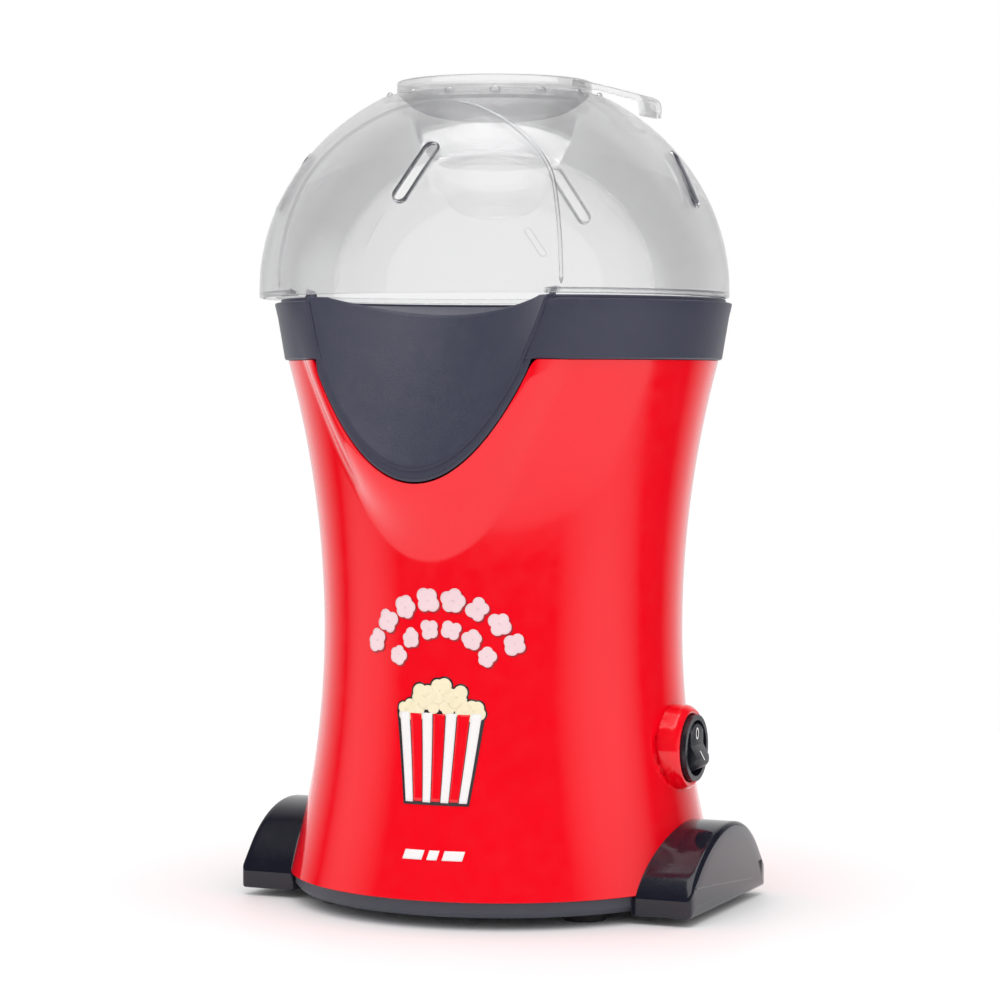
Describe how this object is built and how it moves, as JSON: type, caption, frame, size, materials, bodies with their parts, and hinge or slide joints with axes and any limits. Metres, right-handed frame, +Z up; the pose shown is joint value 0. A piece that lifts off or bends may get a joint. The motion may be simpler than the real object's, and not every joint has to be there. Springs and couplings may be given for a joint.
{
  "type": "popcorn maker",
  "caption": "Hot-air popcorn maker with a waisted body, domed clear lid, lift-off measuring cup, front chute and side rocker switch.",
  "frame": {"origin": "on the surface the machine stands on, at the middle of its outline", "axes": "+Z up, -Y towards the chute at the front, +X towards the rocker switch"},
  "size_m": [0.174, 0.1728, 0.29],
  "materials": {
    "red_shell": "glossy red moulded shell",
    "dark_plastic": "satin charcoal with a blue tint",
    "clear_plastic": "clear polycarbonate",
    "aluminium": "spun, satin",
    "silicone": "matt",
    "tinned_steel": "pressed sheet",
    "steel": "zinc plated",
    "mica": "flaky mica board",
    "heating_wire": "oxidised resistance wire",
    "component_black": "moulded component",
    "white_nylon": "natural nylon",
    "bronze": "sintered or stamped",
    "ferrite": "matt ferrite",
    "motor_steel": "laminated",
    "circuit_board": "solder mask",
    "rubber": "matt",
    "gloss_black": "glossy black",
    "switch_black": "semi-gloss black"
  },
  "bodies": {
    "housing": {"body_shell": "red_shell", "top_ring": "dark_plastic", "chute": "dark_plastic", "popping_chamber": "aluminium", "chamber_seal": "silicone", "chamber_shroud": "tinned_steel", "chamber_screws": "steel", "heater_tube": "tinned_steel", "mica_frame": "mica", "heating_coil": "heating_wire", "thermostat": "component_black", "thermal_fuse": "tinned_steel", "fan_housing": "dark_plastic", "motor_can": "tinned_steel", "motor_end_cap": "white_nylon", "motor_bearings": "bronze", "motor_magnets": "ferrite", "motor_bracket": "tinned_steel", "motor_screws": "steel", "rectifier_board": "circuit_board", "rectifier_diodes": "component_black", "base_plate": "dark_plastic", "base_screws": "steel", "rubber_feet": "rubber", "foot_left": "gloss_black", "foot_right": "gloss_black", "foot_screws": "steel", "switch_housing": "switch_black", "switch_terminals": "bronze", "cord_gland": "switch_black"},
    "lid": {"dome_lid": "clear_plastic"},
    "cup": {"measuring_cup": "clear_plastic"},
    "rocker": {"switch_rocker": "switch_black"},
    "rotor": {"fan_impeller": "white_nylon", "motor_armature": "motor_steel", "motor_shaft": "steel"}
  },
  "joints": [
    {"name": "lid_lift", "type": "slide", "parent": "housing", "child": "lid", "axis": [0, 0, 1], "range_m": [0, 0.1]},
    {"name": "cup_lift", "type": "slide", "parent": "lid", "child": "cup", "axis": [0, 0, 1], "range_m": [0, 0.05]},
    {"name": "rocker_tilt", "type": "hinge", "parent": "housing", "child": "rocker", "pos_m": [0.0695, 0.0048, 0.0563], "axis": [0, 1, 0], "range_deg": [0, 28]},
    {"name": "fan_spin", "type": "hinge", "parent": "housing", "child": "rotor", "pos_m": [0, 0.0048, 0.03], "axis": [0, 0, 1], "continuous": true}
  ]
}
